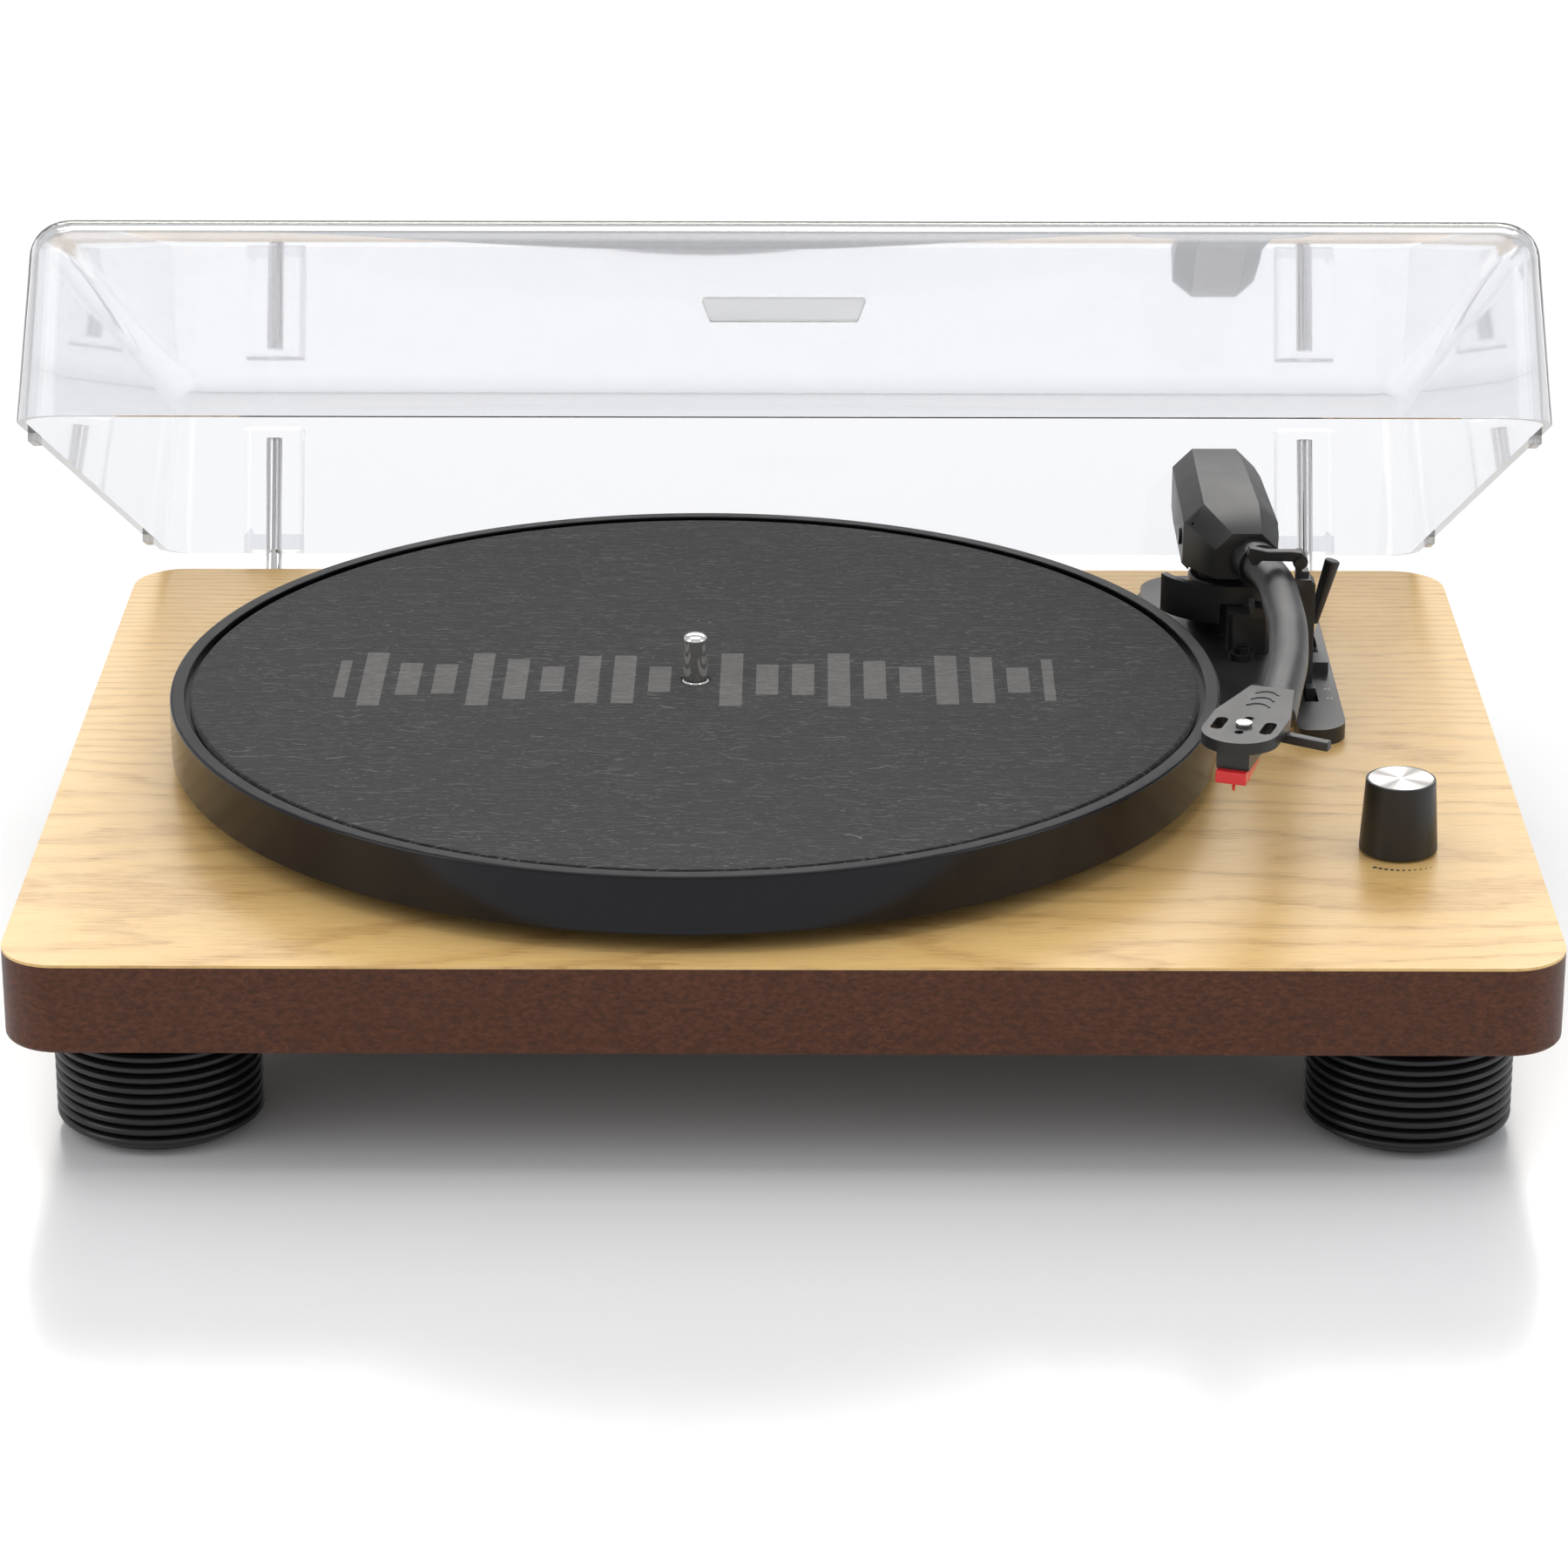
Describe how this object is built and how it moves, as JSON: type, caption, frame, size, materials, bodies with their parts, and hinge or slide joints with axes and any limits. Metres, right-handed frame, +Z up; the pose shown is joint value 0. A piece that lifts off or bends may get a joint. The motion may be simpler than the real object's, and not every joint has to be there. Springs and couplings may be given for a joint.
{
  "type": "turntable record player",
  "caption": "Belt-drive record player: wood-topped plinth on ribbed feet, black platter with felt mat, curved tonearm, volume knob and hinged clear dust cover.",
  "frame": {"origin": "on the spindle's axis, at the top of the slipmat, where a record's underside lies", "axes": "+Z up along the spindle, +X to the player's right along the plinth's long side, +Y to its rear"},
  "size_m": [0.42, 0.3575, 0.2461],
  "materials": {
    "fibreboard": "dark brown stain",
    "veneer": "satin ash veneer",
    "felt": "needled felt",
    "platter_black": "gloss black",
    "arm_black": "satin black",
    "foot_black": "satin black",
    "inner_plastic": "matt",
    "clear": "clear, polished",
    "frosted": "frosted clear",
    "clear_rubber": "soft, clear",
    "rubber": "matt",
    "chrome": "polished",
    "screw_steel": "plated",
    "black_steel": "blackened",
    "steel": "pressed sheet",
    "cap_aluminium": "spun",
    "brass": "gold plated",
    "circuit_board": "solder mask",
    "cone": "pressed paper",
    "magnet": "ferrite",
    "stylus_red": "red",
    "slug": "cast",
    "bottom_board": "hardboard"
  },
  "bodies": {
    "plinth": {"plinth_body": "fibreboard", "top_veneer": "veneer", "bottom_cover": "bottom_board", "bottom_screws": "black_steel", "feet": "foot_black", "foot_pads": "rubber", "foot_screws": "screw_steel", "bearing_housing": "brass", "deck_screws": "screw_steel", "motor_can": "steel", "motor_plate": "steel", "drive_belt": "rubber", "potentiometer": "inner_plastic", "pot_nut": "screw_steel", "arm_base": "arm_black", "pivot_post": "steel", "lift_block": "arm_black", "block_screw": "black_steel", "arm_rest": "arm_black", "rear_panel": "inner_plastic", "rca_jacks": "brass", "dc_inlet": "inner_plastic", "power_switch": "inner_plastic", "main_board": "circuit_board", "board_posts": "inner_plastic", "board_parts": "inner_plastic", "speaker_frames": "steel", "speaker_cones": "cone", "speaker_magnets": "magnet", "small_screws": "screw_steel", "hinge_bases": "arm_black"},
    "platter": {"platter": "platter_black", "slipmat": "felt", "spindle": "chrome"},
    "motor_rotor": {"motor_shaft": "steel", "motor_pulley": "brass"},
    "volume_knob": {"knob_body": "arm_black", "knob_cap": "cap_aluminium", "pot_shaft": "steel"},
    "arm_swing": {"gimbal_yoke": "inner_plastic"},
    "tonearm": {"arm_housing": "arm_black", "counterweight": "slug", "pivot_screws": "black_steel", "arm_tube": "arm_black", "headshell": "arm_black", "headshell_screw": "chrome", "finger_lift": "arm_black", "cartridge_body": "arm_black", "stylus_holder": "stylus_red", "cantilever": "stylus_red"},
    "rest_clip": {"rest_clip": "arm_black"},
    "cue_lift": {"lift_arc": "arm_black"},
    "cue_lever": {"cue_lever": "chrome", "lever_grip": "arm_black"},
    "speed_slider": {"speed_slider": "arm_black"},
    "power_rocker": {"power_rocker": "inner_plastic"},
    "dust_cover": {"dust_cover": "clear", "hinge_rods": "chrome", "cover_grip": "frosted", "cover_bumpers": "clear_rubber"}
  },
  "joints": [
    {"name": "platter_spin", "type": "hinge", "parent": "plinth", "child": "platter", "pos_m": [0, 0, 0], "axis": [0, 0, -1], "continuous": true},
    {"name": "motor_spin", "type": "hinge", "parent": "plinth", "child": "motor_rotor", "pos_m": [-0.112, 0, 0], "axis": [0, 0, -1], "continuous": true},
    {"name": "volume_turn", "type": "hinge", "parent": "plinth", "child": "volume_knob", "pos_m": [0.1985, -0.0775, -0.0218], "axis": [0, 0, -1], "range_deg": [-150, 150]},
    {"name": "arm_swing", "type": "hinge", "parent": "plinth", "child": "arm_swing", "pos_m": [0.162, 0.0884, 0], "axis": [0, 0, -1], "range_deg": [0, 41]},
    {"name": "arm_lift", "type": "hinge", "parent": "arm_swing", "child": "tonearm", "pos_m": [0.162, 0.0884, 0.0147], "axis": [-1, 0, 0], "range_deg": [-1.4, 2.2]},
    {"name": "clip_turn", "type": "hinge", "parent": "plinth", "child": "rest_clip", "pos_m": [0.18, 0.0435, 0.0221], "axis": [0, 1, 0], "range_deg": [0, 100]},
    {"name": "cue_turn", "type": "hinge", "parent": "plinth", "child": "cue_lever", "pos_m": [0.1848, 0.0704, -0.0163], "axis": [1, 0, 0], "range_deg": [0, 45]},
    {"name": "cue_rise", "type": "slide", "parent": "plinth", "child": "cue_lift", "axis": [0, 0, 1], "range_m": [0, 0.0012]},
    {"name": "speed_slide", "type": "slide", "parent": "plinth", "child": "speed_slider", "axis": [0, 1, 0], "range_m": [-0.004, 0.004]},
    {"name": "power_tilt", "type": "hinge", "parent": "plinth", "child": "power_rocker", "pos_m": [0.0045, 0.1632, -0.0378], "axis": [0, 0, -1], "range_deg": [0, 18]},
    {"name": "cover_hinge", "type": "hinge", "parent": "plinth", "child": "dust_cover", "pos_m": [0.0265, 0.168, -0.0338], "axis": [-1, 0, 0], "range_deg": [-25.2, 35]}
  ],
  "couplings": [
    {"joint": "motor_spin", "follows": "platter_spin", "ratio": 18},
    {"joint": "cue_rise", "follows": "cue_turn", "m_per_rad": 0.00152}
  ]
}
